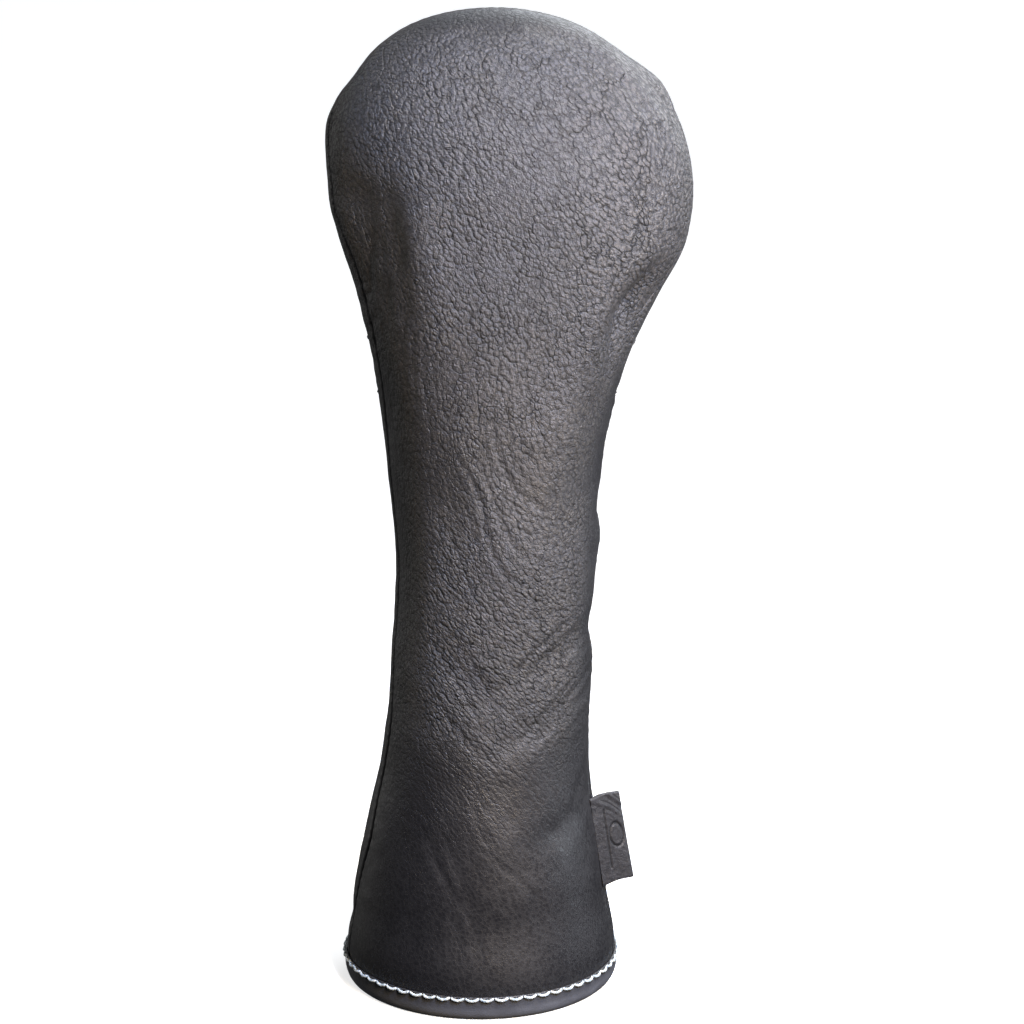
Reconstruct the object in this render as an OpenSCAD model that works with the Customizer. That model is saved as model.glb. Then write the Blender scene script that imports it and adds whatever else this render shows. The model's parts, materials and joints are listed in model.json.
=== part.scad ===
// Leather head cover for a golf driver: a front and a back leather panel sewn into a sleeve with a
// rounded head, foam behind the leather at the head, an elastic across the back of the neck, a
// fleece lining, and a leather binding round the mouth with contrast stitching.
// Millimetres, +Z up. The mouth stands on z = 0, the front faces -Y, x = 0 halves the head's width.

/* [Overall] */
// Height from the resting hem to the top of the crown
overall_h = 368; // [355:1:380]
// Height at which the head is widest and the crown starts to close
crown_start_h = 308; // [302:1:314]
// How far the crown's top leans towards the left seam
crown_lean = 4.5; // [0:0.5:8]

/* [Sections] */
// Width of the head
head_w = 132.6; // [126:0.2:140]
// Depth of the head, front to back
head_d = 90; // [80:1:96]
// Width of the neck
neck_w = 73; // [68:1:80]
// Depth of the neck, front to back
neck_d = 72; // [64:1:78]
// Width of the mouth over the leather
mouth_w = 103.6; // [96:0.2:110]
// Depth of the mouth over the leather
mouth_d = 97; // [90:1:104]

/* [Leather] */
// Thickness of the panel leather
leather_t = 1.4; // [1.2:0.1:1.8]
// Width of the groove between the two panels, which holds the seam thread
seam_gap = 1.0; // [0.9:0.1:1.2]
// How far the side seams lie forward of the widest line, in degrees round the section
seam_forward = 10; // [6:1:14]
// Thickness of the binding leather
binding_t = 1.0; // [0.8:0.1:1.2]
// Height of the binding
binding_h = 9.6; // [8.5:0.1:11]

/* [Inside] */
// Thickness of the fleece lining
lining_t = 3; // [2:0.1:4]
// Thickness of the foam behind the leather at the head
foam_t = 3; // [2:0.1:3.5]
// Width of the elastic across the back of the neck
elastic_w = 32; // [26:1:36]
// Height of the middle of the elastic
elastic_z = 238; // [232:1:244]
// How far the elastic pulls the back of the neck in
elastic_pull = 4; // [0:0.5:5]

/* [Thread] */
// Diameter of the white hem thread
hem_thread_d = 0.9; // [0.6:0.1:1]
// Number of hem stitches
hem_stitch_count = 60; // [50:1:66]
// Length from one seam stitch to the next
seam_pitch = 4.2; // [4:0.1:6]
// Diameter of the seam thread
seam_thread_d = 0.5; // [0.4:0.1:0.6]

/* [Tab] */
// Height of the tab along the seam
tab_h = 33; // [28:1:36]
// Width of the tab from its flex line to its fold
tab_w = 11.5; // [9:0.5:14]
// Thickness of one leaf of the folded tab
tab_leaf_t = 0.9; // [0.8:0.1:1.2]
// Height of the middle of the tab
tab_z = 54; // [48:1:60]
// Direction of the tab at rest, turned back from +X
tab_rest = 30; // [10:1:40]

/* [Hidden] */

// Clearance between two layers that lie on each other.
skin_gap = 0.1;
// Heights between which the layers open out from the squeezed hem, and to full foam.
hem_flat_top = 12;
hem_open_z = 34;
foam_start_z = 262;
foam_full_z = 276;
// Lowest edge of the leather and the lining, just above the binding's floor.
panel_base_z = binding_t + skin_gap;
lining_squeezed_t = 1.4;
crown_h = overall_h - crown_start_h;
// A section's power is 2 for an ellipse, and this much more at the head, which is squarer.
head_squareness = 0.25;
front_span = 180 - 2 * seam_forward;
back_span = 180 + 2 * seam_forward;
allowance_deg = 7;
allowance_skive_deg = 2;
column_deg = 10;

// The sleeve's shape: height, how far the section has opened from the neck towards the mouth,
// how far towards the head, and x of the section's centre.
SHAPE = [
    [0, 1, 0, -11],
    [hem_flat_top, 1, 0, -11],
    [34, 0.77, 0, -11],
    [57, 0.55, 0, -10.8],
    [80, 0.25, 0, -10],
    [106, 0.09, 0, -8.4],
    [150, 0, 0, -6],
    [195, 0, 0.08, -6],
    [226, 0, 0.22, -5.2],
    [250, 0, 0.43, -2.6],
    [276, 0, 0.79, 0],
    [crown_start_h, 0, 1, 0]
];

function secant(i, c) = (SHAPE[i + 1][c] - SHAPE[i][c]) / (SHAPE[i + 1][0] - SHAPE[i][0]);
// Slope of column c at row i: the harmonic mean of the two secants, so that nothing overshoots.
function slope(i, c) = (i <= 0 || i >= len(SHAPE) - 1) ? 0
    : let (below = secant(i - 1, c), above = secant(i, c))
      below * above <= 0 ? 0 : 2 * below * above / (below + above);
function row_under(z, i = 0) =
    (i >= len(SHAPE) - 2 || z <= SHAPE[i + 1][0]) ? i : row_under(z, i + 1);
function shape_at(z, c) =
    let (i = row_under(z), step = SHAPE[i + 1][0] - SHAPE[i][0], t = (z - SHAPE[i][0]) / step)
    SHAPE[i][c] * (1 + 2 * t) * (1 - t) ^ 2 + slope(i, c) * step * t * (1 - t) ^ 2
    + SHAPE[i + 1][c] * t ^ 2 * (3 - 2 * t) + slope(i + 1, c) * step * t ^ 2 * (t - 1);

function between(z, low, high) = min(1, max(0, (z - low) / (high - low)));

// A level runs from 0 at the hem to 1 where the crown starts and 2 at the crown's top.
function level_of(z) = z / crown_start_h;
// Section at a level: [z, centre x, half width, half depth in front, half depth behind, power].
function section(level) =
    level <= 1
    ? let (z = level * crown_start_h,
           mouth = shape_at(z, 1),
           head = shape_at(z, 2),
           half_d = (neck_d + mouth * (mouth_d - neck_d) + head * (head_d - neck_d)) / 2,
           pull = elastic_pull * exp(-((z - elastic_z) / elastic_w) ^ 2))
      [z, shape_at(z, 3), (neck_w + mouth * (mouth_w - neck_w) + head * (head_w - neck_w)) / 2,
       half_d, half_d - pull, 2 + head_squareness * head]
    : let (rise = sin(90 * (level - 1)),
           size = cos(90 * (level - 1)),
           pull = elastic_pull * exp(-((crown_start_h - elastic_z) / elastic_w) ^ 2))
      [crown_start_h + crown_h * rise, -crown_lean * rise ^ 2, size * head_w / 2,
       size * head_d / 2, size * (head_d / 2 - pull), 2 + head_squareness];

// The same section moved inwards by depth, square to the wall.
function inset(level, depth) =
    let (step = 0.004,
         lower = section(max(0, level - step)),
         upper = section(min(2, level + step)),
         run = (upper[2] + upper[3] - lower[2] - lower[3]) / 2,
         rise = upper[0] - lower[0],
         wall = norm([run, rise]),
         s = section(level))
    [s[0] + depth * run / wall, s[1], s[2] - depth * rise / wall,
     s[3] - depth * rise / wall, s[4] - depth * rise / wall, s[5]];

function rounded(v, power) = sign(v) * abs(v) ^ (2 / power);
// Point on the wall: level, angle round the section (0 at +X, -90 at the front), depth inwards.
function wall_point(level, angle, depth) =
    let (s = inset(level, depth), across = sin(angle))
    [s[1] + s[2] * rounded(cos(angle), s[5]),
     (across < 0 ? s[3] : s[4]) * rounded(across, s[5]), s[0]];

// Angles of a panel's columns, counted from the right-hand seam, closer together at the seams.
function columns(span) = concat(
    [0, allowance_deg, allowance_deg + allowance_skive_deg],
    [for (a = [2 * column_deg : column_deg : span - 2 * column_deg]) a],
    [span - allowance_deg - allowance_skive_deg, span - allowance_deg, span]);
// Half of the seam's groove at a level, as an angle.
function groove_deg(level) = min(6, seam_gap / 2 / max(section(level)[2], 1) * 180 / PI);
function column_angle(side, span, angle, level) =
    let (kept = min(span - groove_deg(level), max(groove_deg(level), angle)))
    -seam_forward + side * kept;

// How far the layers between the leather and the lining stand in from the leather, by level.
function turning_depth(level) =
    leather_t * between(level * crown_start_h, hem_flat_top, hem_open_z);
function core_depth(level) =
    turning_depth(level)
    + (foam_t - leather_t) * between(level * crown_start_h, foam_start_z, foam_full_z);

// Depths of the lining's two faces; it is squeezed thin where the binding grips it.
function lining_outer(level) = leather_t + core_depth(level) + skin_gap;
function lining_inner(level) =
    lining_outer(level) + lining_squeezed_t
    + (lining_t - lining_squeezed_t) * between(level * crown_start_h, hem_flat_top, hem_open_z);

// Edges of the elastic, and the two rows of stitches near them.
elastic_edge_in = 6;
elastic_low = elastic_z - elastic_w / 2;
elastic_high = elastic_z + elastic_w / 2;
elastic_rows = [elastic_low + elastic_edge_in, elastic_high - elastic_edge_in];
// Every layer has its rings of points at the same levels, so that no two of them cut each other.
ring_pitch = 15;
breaks = [panel_base_z, hem_flat_top, hem_open_z, elastic_low, elastic_rows[0], elastic_rows[1],
          elastic_high, foam_start_z, foam_full_z, crown_start_h];
full_levels = concat(
    [for (i = [0 : len(breaks) - 2])
        let (gap = breaks[i + 1] - breaks[i], rings = ceil(gap / ring_pitch))
        for (k = [0 : rings - 1]) level_of(breaks[i] + gap * k / rings)],
    [for (angle = [0 : 15 : 75]) 1 + angle / 90]);
function levels_between(low, high) =
    [for (level = full_levels) if (level > low - 0.001 && level < high + 0.001) level];

// A piece of a curved layer: side -1 is the front and 1 the back, outer and inner give the depth
// of its two faces at a level and column, and a closed piece runs to the crown's top.
module layer(side, span, angles, levels, outer, inner, closed) {
    rows = len(levels);
    cols = len(angles);
    faces_each = rows * cols;
    function grid(depth) = [
        for (r = [0 : rows - 1]) for (c = [0 : cols - 1])
            wall_point(levels[r], column_angle(side, span, angles[c], levels[r]),
                       depth(levels[r], angles[c]))
    ];
    function pole(depth) = [-crown_lean, 0, overall_h - depth(2, span / 2)];
    function at(r, c) = r * cols + c;
    function quad(a, b, c, d) = [[a, b, c], [a, c, d]];
    outside = [for (r = [0 : rows - 2]) for (c = [0 : cols - 2])
        each quad(at(r, c), at(r + 1, c), at(r + 1, c + 1), at(r, c + 1))];
    inside = [for (f = outside) [f[2], f[1], f[0]] + faces_each * [1, 1, 1]];
    ends = [for (r = [0 : rows - 2]) each concat(
        quad(at(r, 0), faces_each + at(r, 0), faces_each + at(r + 1, 0), at(r + 1, 0)),
        quad(at(r, cols - 1), at(r + 1, cols - 1),
             faces_each + at(r + 1, cols - 1), faces_each + at(r, cols - 1)))];
    base = [for (c = [0 : cols - 2])
        each quad(at(0, c), at(0, c + 1), faces_each + at(0, c + 1), faces_each + at(0, c))];
    last = rows - 1;
    top_open = [for (c = [0 : cols - 2])
        each quad(at(last, c + 1), at(last, c),
                  faces_each + at(last, c), faces_each + at(last, c + 1))];
    tip = 2 * faces_each;
    top_closed = concat(
        [for (c = [0 : cols - 2]) [at(last, c), tip, at(last, c + 1)]],
        [for (c = [0 : cols - 2])
            [faces_each + at(last, c + 1), tip + 1, faces_each + at(last, c)]],
        quad(at(last, 0), faces_each + at(last, 0), tip + 1, tip),
        quad(at(last, cols - 1), tip, tip + 1, faces_each + at(last, cols - 1)));
    all_faces = concat(outside, inside, ends, base, closed ? top_closed : top_open);
    polyhedron(
        points = concat(grid(outer), grid(inner), closed ? [pole(outer), pole(inner)] : []),
        faces = side < 0 ? all_faces : [for (f = all_faces) [f[2], f[1], f[0]]],
        convexity = 6);
}

// A straight piece of thread with flat sides from point a to point b.
module thread(a, b, d) {
    run = b - a;
    translate(a)
        rotate([0, acos(run[2] / norm(run)), atan2(run[1], run[0])])
            cylinder(h = norm(run), d = d, $fn = 6);
}

// Leather panel: one skin thick, and two where the seam allowance is turned in along each seam.
module leather_panel(side, span) {
    in_allowance = function(angle) min(angle, span - angle) <= allowance_deg + 0.01 ? 1 : 0;
    layer(side, span, columns(span), full_levels,
          function(level, angle) 0,
          function(level, angle) leather_t + in_allowance(angle) * turning_depth(level),
          true);
}
module front_panel() { color("#29292c") leather_panel(-1, front_span); }
module back_panel() { color("#232326") leather_panel(1, back_span); }

module lining(side, span) {
    layer(side, span, columns(span), full_levels,
          function(level, angle) lining_outer(level),
          function(level, angle) lining_inner(level),
          true);
}
module front_lining() { color("#55565a") lining(-1, front_span); }
module back_lining() { color("#55565a") lining(1, back_span); }

// Columns between the two seam allowances.
function inner_columns(span) =
    let (all = columns(span)) [for (i = [2 : len(all) - 3]) all[i]];
module head_foam(side, span) {
    layer(side, span, inner_columns(span), levels_between(level_of(foam_start_z), 2),
          function(level, angle) leather_t + skin_gap,
          function(level, angle) leather_t + core_depth(level),
          false);
}
module front_head_foam() { color("#c9c6bc") head_foam(-1, front_span); }
module back_head_foam() { color("#c9c6bc") head_foam(1, back_span); }

module neck_elastic() {
    color("#1b1b1d")
        layer(1, back_span, inner_columns(back_span),
              levels_between(level_of(elastic_low), level_of(elastic_high)),
              function(level, angle) leather_t + skin_gap,
              function(level, angle) leather_t + turning_depth(level),
              false);
}
// Two rows of stitches hold the elastic to the back panel.
module elastic_stitches() {
    stitch_deg = 4;
    hole_deg = 0.4;
    first_deg = 12;
    depth = -skin_gap - seam_thread_d / 2;
    color("#151517")
        for (z = elastic_rows)
            for (a = [first_deg : stitch_deg : back_span - first_deg - stitch_deg])
                thread(wall_point(level_of(z), a - seam_forward + hole_deg, depth),
                       wall_point(level_of(z), a - seam_forward + stitch_deg - hole_deg, depth),
                       seam_thread_d);
}

// Outline of the mouth at a depth inside the leather's outer face.
module mouth_outline(depth) {
    angles = concat([for (a = columns(front_span)) -seam_forward - a],
                    [for (a = columns(back_span)) -seam_forward - front_span - a]);
    polygon([for (a = angles) let (p = wall_point(0, a, depth)) [p[0], p[1]]]);
}
// Leather strip folded over the mouth's edge, open at the top.
module hem_binding() {
    slot_in = lining_inner(0) + skin_gap / 2;
    color("#2f3035")
        difference() {
            linear_extrude(binding_h) mouth_outline(-binding_t - skin_gap / 2);
            translate([0, 0, -1]) linear_extrude(binding_h + 2) mouth_outline(slot_in + binding_t);
            translate([0, 0, binding_t])
                linear_extrude(binding_h)
                    difference() {
                        mouth_outline(-skin_gap / 2);
                        mouth_outline(slot_in);
                    }
        }
}
module hem_stitches() {
    stitch_z = binding_h - 0.7;
    depth = -binding_t - 2 * skin_gap - hem_thread_d / 2;
    step = 360 / hem_stitch_count;
    gap = step * 0.12;
    color("#f2f1ec")
        for (i = [0 : hem_stitch_count - 1])
            thread(wall_point(0, i * step + gap, depth) + [0, 0, stitch_z],
                   wall_point(0, (i + 1) * step - gap, depth) + [0, 0, stitch_z],
                   hem_thread_d);
}

// A seam's length from the hem to the crown's top, taken as straight up and then a quarter ellipse.
crown_run = PI / 4 * (head_w / 2 + crown_h);
function level_along(run) =
    run <= crown_start_h ? run / crown_start_h : 1 + (run - crown_start_h) / crown_run;
// Stitches along one seam, from a height to near the crown's top, at a depth for each level.
module seam_stitches(angle, depth, start_z, pitch) {
    end_run = crown_start_h + crown_run * 0.86;
    stitch_run = pitch * 0.86;
    for (run = [start_z : pitch : end_run])
        let (low = level_along(run), high = level_along(run + stitch_run))
            thread(wall_point(low, angle, depth(low)), wall_point(high, angle, depth(high)),
                   seam_thread_d);
}
right_seam = -seam_forward;
left_seam = -180 + seam_forward;
// The leather's seam thread lies this deep in the groove, just above the binding.
seam_thread_depth = 0.9;
seam_thread_z = binding_h + 2;
module leather_seam_stitches(angle) {
    color("#151517")
        seam_stitches(angle, function(level) seam_thread_depth, seam_thread_z, seam_pitch);
}
module left_seam_stitches() { leather_seam_stitches(left_seam); }
module right_seam_stitches() { leather_seam_stitches(right_seam); }
module lining_seam_stitches() {
    lining_pitch = 6;
    color("#4a4b4f")
        for (angle = [left_seam, right_seam])
            seam_stitches(angle, function(level) lining_inner(level) - seam_thread_d / 2,
                          seam_thread_z, lining_pitch);
}

// The tab's flex line runs along the right-hand seam, just clear of it.
tab_half_t = tab_leaf_t + skin_gap;
flex_clear = 0.3;
flex_point = wall_point(level_of(tab_z), right_seam, -tab_half_t - flex_clear);
flex_axis = let (run = wall_point(level_of(tab_z + tab_h / 2), right_seam, 0)
                       - wall_point(level_of(tab_z - tab_h / 2), right_seam, 0)) run / norm(run);
// Puts its children at the flex line, with +X along the way out and +Z along the seam.
module at_flex_line(way_out) {
    flat = way_out - (way_out * flex_axis) * flex_axis;
    x = flat / norm(flat);
    y = cross(flex_axis, x);
    multmatrix([[x[0], y[0], flex_axis[0], flex_point[0]],
                [x[1], y[1], flex_axis[1], flex_point[1]],
                [x[2], y[2], flex_axis[2], flex_point[2]]])
        children();
}
// The skived end of the tab, sewn between the two panels.
module tab_anchor() {
    anchor_t = 0.6;
    anchor_in = 2.4;
    normal = wall_point(level_of(tab_z), right_seam, 0) - wall_point(level_of(tab_z), right_seam, 1);
    color("#2f3035")
        at_flex_line(normal)
            translate([-tab_half_t - flex_clear - anchor_in, -anchor_t / 2, -tab_h / 2 + 1])
                cube([anchor_in + flex_clear / 2, anchor_t, tab_h - 2]);
}
// The tab: one strip folded back on itself, with a plain ring pressed into its front leaf.
module side_tab() {
    fold_x = tab_w - tab_half_t;
    ring_r = 3.2;
    ring_w = 0.6;
    press = 0.3;
    color("#2f3035")
        at_flex_line([cos(tab_rest), sin(tab_rest), 0])
            difference() {
                translate([0, 0, -tab_h / 2])
                    linear_extrude(tab_h)
                        difference() {
                            union() {
                                circle(tab_half_t, $fn = 32);
                                translate([0, -tab_half_t]) square([fold_x, 2 * tab_half_t]);
                                translate([fold_x, 0]) circle(tab_half_t, $fn = 32);
                            }
                            translate([tab_half_t, -skin_gap]) square([fold_x - tab_half_t, 2 * skin_gap]);
                        }
                translate([fold_x / 2 + 1, press - tab_half_t, 0])
                    rotate([90, 0, 0])
                        difference() {
                            cylinder(h = 2, r = ring_r, $fn = 48);
                            translate([0, 0, -1]) cylinder(h = 4, r = ring_r - ring_w, $fn = 48);
                        }
            }
}

front_panel();
back_panel();
hem_binding();
hem_stitches();
left_seam_stitches();
right_seam_stitches();
front_head_foam();
back_head_foam();
neck_elastic();
elastic_stitches();
front_lining();
back_lining();
lining_seam_stitches();
tab_anchor();
side_tab();
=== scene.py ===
"""Looks of a leather head cover for a golf driver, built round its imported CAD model.

The cover stands on its mouth, +Z up, its front faces -Y and its tab is on the +X side.
Shapes are worked out in millimetres, and mesh_piece() turns them into metres.
"""

import json
import math

import bpy
import numpy as np
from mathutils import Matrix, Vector, noise
from mathutils.kdtree import KDTree


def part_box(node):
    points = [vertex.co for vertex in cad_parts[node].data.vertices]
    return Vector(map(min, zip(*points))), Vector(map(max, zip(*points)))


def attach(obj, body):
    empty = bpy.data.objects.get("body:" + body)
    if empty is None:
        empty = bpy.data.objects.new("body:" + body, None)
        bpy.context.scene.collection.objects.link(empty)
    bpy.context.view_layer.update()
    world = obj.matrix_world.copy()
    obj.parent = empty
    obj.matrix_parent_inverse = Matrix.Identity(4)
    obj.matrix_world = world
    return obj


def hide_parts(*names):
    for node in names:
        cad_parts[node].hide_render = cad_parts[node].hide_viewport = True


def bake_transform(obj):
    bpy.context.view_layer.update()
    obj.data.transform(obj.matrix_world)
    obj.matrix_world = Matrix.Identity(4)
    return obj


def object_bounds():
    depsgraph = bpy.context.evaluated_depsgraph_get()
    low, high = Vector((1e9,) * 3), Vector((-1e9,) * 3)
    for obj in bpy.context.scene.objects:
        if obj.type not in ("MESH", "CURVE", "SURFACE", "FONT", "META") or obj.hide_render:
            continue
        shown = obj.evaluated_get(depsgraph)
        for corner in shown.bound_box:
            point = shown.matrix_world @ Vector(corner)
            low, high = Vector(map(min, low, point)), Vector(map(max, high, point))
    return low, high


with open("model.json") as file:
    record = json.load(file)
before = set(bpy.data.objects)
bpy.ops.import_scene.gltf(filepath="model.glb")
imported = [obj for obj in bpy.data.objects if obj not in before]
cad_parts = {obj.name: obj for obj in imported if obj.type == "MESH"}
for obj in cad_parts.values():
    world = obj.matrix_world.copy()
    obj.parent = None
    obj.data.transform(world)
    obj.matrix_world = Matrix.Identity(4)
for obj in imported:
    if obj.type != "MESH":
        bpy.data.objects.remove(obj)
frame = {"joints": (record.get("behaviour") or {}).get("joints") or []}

MM = 0.001
CAD_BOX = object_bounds()
COVER_TOP = CAD_BOX[1].z / MM


def cad_box(node):
    """Lowest and highest corner of a CAD node, in mm."""
    low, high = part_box(node)
    return np.array(low) / MM, np.array(high) / MM


# ---------------------------------------------------------------- camera, light and floor

# The camera looks this much above the cover's middle, and the cover fills this much of the frame.
CAMERA_RAISE = math.radians(0.07)
FRAME_FILL = 0.992
CAMERA_X = 0.0011
CAMERA_DISTANCE = 0.95
CAMERA_HEIGHT = 0.43
LIGHTS_AIM = Vector((0, 0, 0.25))
SUN_SPREAD = math.radians(50)
# The floor's outline, as distance from the middle and height.
FLOOR_PROFILE = np.array([(1, 0), (7000, 0), (8500, 250), (9800, 1000), (10700, 2200), (11000, 4000),
                          (11000, 9000)])
FLOOR_COLUMNS = 96


def add_object(name, data):
    thing = bpy.data.objects.new(name, data)
    bpy.context.collection.objects.link(thing)
    return thing


def make_camera():
    """A camera in front, a little above the crown, that looks down and frames the whole cover."""
    top = math.atan2(CAMERA_HEIGHT - CAD_BOX[1].z, CAMERA_DISTANCE)
    bottom = math.atan2(CAMERA_HEIGHT, CAMERA_DISTANCE + CAD_BOX[0].y)
    pitch = (top + bottom) / 2 - CAMERA_RAISE
    data = bpy.data.cameras.new("Camera")
    data.angle = 2 * math.atan(math.tan((bottom - top) / 2) / FRAME_FILL)
    camera = add_object("Camera", data)
    camera.location = (CAMERA_X, -CAMERA_DISTANCE, CAMERA_HEIGHT)
    camera.rotation_euler = (math.pi / 2 - pitch, 0, 0)
    bpy.context.scene.camera = camera


def light(name, kind, power, colour, towards):
    """A light that faces the cover from the way that towards points."""
    data = bpy.data.lights.new(name, kind)
    data.energy = power
    data.color = colour
    lamp = add_object(name, data)
    lamp.rotation_euler = towards.to_track_quat("Z", "Y").to_euler()
    return lamp


def area_light(name, around, away, height, size, power, colour):
    """A square softbox around the cover (0 degrees in front, 90 on its right), aimed at its neck."""
    angle = math.radians(around)
    place = Vector((away * math.sin(angle), -away * math.cos(angle), height))
    lamp = light(name, "AREA", power, colour, place - LIGHTS_AIM)
    lamp.location = place
    lamp.data.size = size
    lamp.visible_camera = False


def sun_light(name, around, elevation, strength, colour):
    """A broad far light, at an angle around the cover and above the floor in degrees."""
    angle, height = math.radians(around), math.radians(elevation)
    towards = Vector((math.sin(angle), -math.cos(angle), math.tan(height)))
    light(name, "SUN", strength, colour, towards).data.angle = SUN_SPREAD


def make_lights():
    """Softboxes close by at the front and the right, one of them faint and low, and broad light from
    behind and from the left that whitens the floor and edges the cover."""
    area_light("Key", 22, 0.38, 0.28, 0.12, 2.8, (1.0, 0.80, 0.58))
    area_light("Cool_high", 33, 0.42, 0.54, 0.16, 7.6, (0.50, 0.64, 1.0))
    area_light("Side", 66, 0.34, 0.72, 0.12, 6.2, (1.0, 0.88, 0.72))
    area_light("Low", 84, 0.34, 0.09, 0.12, 0.35, (0.86, 0.93, 1.0))
    sun_light("Back", 155, 26, 2.4, (0.90, 0.95, 1.0))
    sun_light("Left", -125, 15, 0.6, (1.0, 0.98, 0.96))


def make_world():
    """Faint light from everywhere."""
    world = bpy.data.worlds.new("World")
    world.use_nodes = True
    background = world.node_tree.nodes["Background"]
    background.inputs["Color"].default_value = (0.93, 0.95, 1.0, 1)
    background.inputs["Strength"].default_value = 0.04
    bpy.context.scene.world = world


def floor_material():
    """Matt pale grey, which glows a little by itself so that it stays plain."""
    glow = {"Emission_Color": (1, 1, 1, 1), "Emission_Strength": 0.72}
    return Nodes("Floor").finish((0.7, 0.7, 0.7, 1), 0.9, **glow)


def make_floor():
    """A floor that curves up into a wall all round, far out, and throws no light on the cover."""
    turns = np.linspace(0, 2 * math.pi, FLOOR_COLUMNS, endpoint=False)
    radius, height = FLOOR_PROFILE[:, :1], FLOOR_PROFILE[:, 1:]
    points = np.stack([radius * np.cos(turns), radius * np.sin(turns), height + 0 * turns], axis=-1)
    faces = grid_quads(len(FLOOR_PROFILE), FLOOR_COLUMNS, closed=True)
    floor = mesh_piece("Floor", points.reshape(-1, 3), faces, floor_material(), body=None)
    floor.visible_diffuse = False
    floor.visible_glossy = False
    floor.visible_shadow = False


# ---------------------------------------------------------------- the standing shape

# Outer face of the leather: height, left edge, right edge, and how far it reaches in front of
# and behind y = 0. The crown starts at the last row.
STATIONS = np.array([
    (0, -62.8, 40.8, 48.5, 48.5),
    (12, -62.7, 40.8, 48.5, 48.5),
    (34, -59.8, 37.2, 45.6, 45.6),
    (58, -55.6, 33.8, 42.8, 42.8),
    (91, -48.2, 29.8, 38.2, 38.2),
    (123, -45.0, 30.8, 36.6, 36.6),
    (162, -43.0, 32.0, 36.0, 36.0),
    (200, -46.0, 34.4, 36.8, 36.2),
    (238, -50.6, 41.8, 38.9, 35.0),
    (268, -57.8, 56.2, 42.2, 40.0),
    (288, -63.8, 64.6, 44.2, 43.0),
    (302, -66.0, 66.2, 45.0, 44.6),
])
# Degrees by which the left and the right seam lie forward of the widest line, by height.
SEAMS = np.array([
    (0, 11, 10),
    (40, 14, 10),
    (60, 19, 10),
    (80, 16, 8),
    (97, 17, 3),
    (125, 10, 0),
    (170, 6, 0),
    (214, 8, 6),
    (238, 14, 14),
    (258, 18, 21),
    (276, 16, 15),
    (302, 10, 8),
])
CROWN_START = STATIONS[-1, 0]
CROWN_LEAN_X = -5.0
# Length over the crown from its start to its top, as the levels above 1 count it.
CROWN_RUN = 104.0
# Above 2, the crown stays wide for longer than an ellipse before it closes.
CROWN_POWERS = {"left": 2.65, "right": 2.15, "front": 2.2, "back": 2.2}
# How much squarer than an ellipse the sections are: all round the head, from HEAD_LOW on and fully
# from HEAD_HIGH on, and on the right of the shoulder at SHOULDER_Z, which fades over SHOULDER_REACH.
HEAD_SQUARENESS = 0.25
HEAD_LOW, HEAD_HIGH = 226, 290
SHOULDER_SQUARENESS = 0.45
SHOULDER_Z, SHOULDER_REACH = 240, 48
ELASTIC_LOW, ELASTIC_HIGH = (corner[2] for corner in cad_box("neck_elastic"))
ELASTIC_MIDDLE = (ELASTIC_LOW + ELASTIC_HIGH) / 2


def through(z, heights, values):
    """Smooth curve through the values, which never overshoots between them."""
    secant = np.diff(values) / np.diff(heights)
    same_way = secant[1:] * secant[:-1] > 0
    total = np.where(same_way, secant[1:] + secant[:-1], 1)
    inner = np.where(same_way, 2 * secant[1:] * secant[:-1] / total, 0)
    slope = np.concatenate(([0], inner, [0]))
    i = np.clip(np.searchsorted(heights, z, side="right") - 1, 0, len(heights) - 2)
    step = heights[i + 1] - heights[i]
    t = np.clip((z - heights[i]) / step, 0, 1)
    return (
        values[i] * (1 + 2 * t) * (1 - t) ** 2
        + slope[i] * step * t * (1 - t) ** 2
        + values[i + 1] * t**2 * (3 - 2 * t)
        + slope[i + 1] * step * t**2 * (t - 1)
    )


def ramp(value, low, high):
    """0 below low, 1 above high, and smooth between them."""
    t = np.clip((value - low) / (high - low), 0, 1)
    return t * t * (3 - 2 * t)


def level_of(z):
    """A level runs from 0 at the hem to 1 where the crown starts and 2 at the crown's top."""
    return z / CROWN_START


def skin(angle, level):
    """Points of the smooth outer skin. angle is 0 at +X and -90 degrees at the front."""
    angle, level = np.broadcast_arrays(np.asarray(angle, float), np.asarray(level, float))
    z = CROWN_START * np.clip(level, 0, 1)
    left, right, front, back = (through(z, STATIONS[:, 0], STATIONS[:, k]) for k in range(1, 5))
    rise = np.sin(np.clip(level - 1, 0, 1) * math.pi / 2)
    width = (right - left) / 2
    centre = (left + right) / 2
    centre = centre + (CROWN_LEAN_X - centre) * rise**2
    close = {side: np.sqrt(np.maximum(0, 1 - rise**p)) for side, p in CROWN_POWERS.items()}
    across, along = np.cos(angle), np.sin(angle)
    near_shoulder = np.exp(-(((z - SHOULDER_Z) / SHOULDER_REACH) ** 2)) * (across > 0)
    power = 2 + HEAD_SQUARENESS * ramp(z, HEAD_LOW, HEAD_HIGH) + SHOULDER_SQUARENESS * near_shoulder
    reach_x = width * np.where(across > 0, close["right"], close["left"])
    reach_y = np.where(along < 0, front * close["front"], back * close["back"])
    x = centre + reach_x * np.sign(across) * np.abs(across) ** (2 / power)
    y = reach_y * np.sign(along) * np.abs(along) ** (2 / power)
    return np.stack([x, y, z + (COVER_TOP - CROWN_START) * rise], axis=-1)


def skin_normal(angle, level):
    """Which way the smooth skin faces."""
    small = 0.002
    level = np.clip(level, small, 2 - 4 * small)
    round_way = skin(angle + small, level) - skin(angle - small, level)
    up = skin(angle, level + small) - skin(angle, level - small)
    normal = np.cross(round_way, up)
    return normal / np.linalg.norm(normal, axis=-1, keepdims=True)


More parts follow.
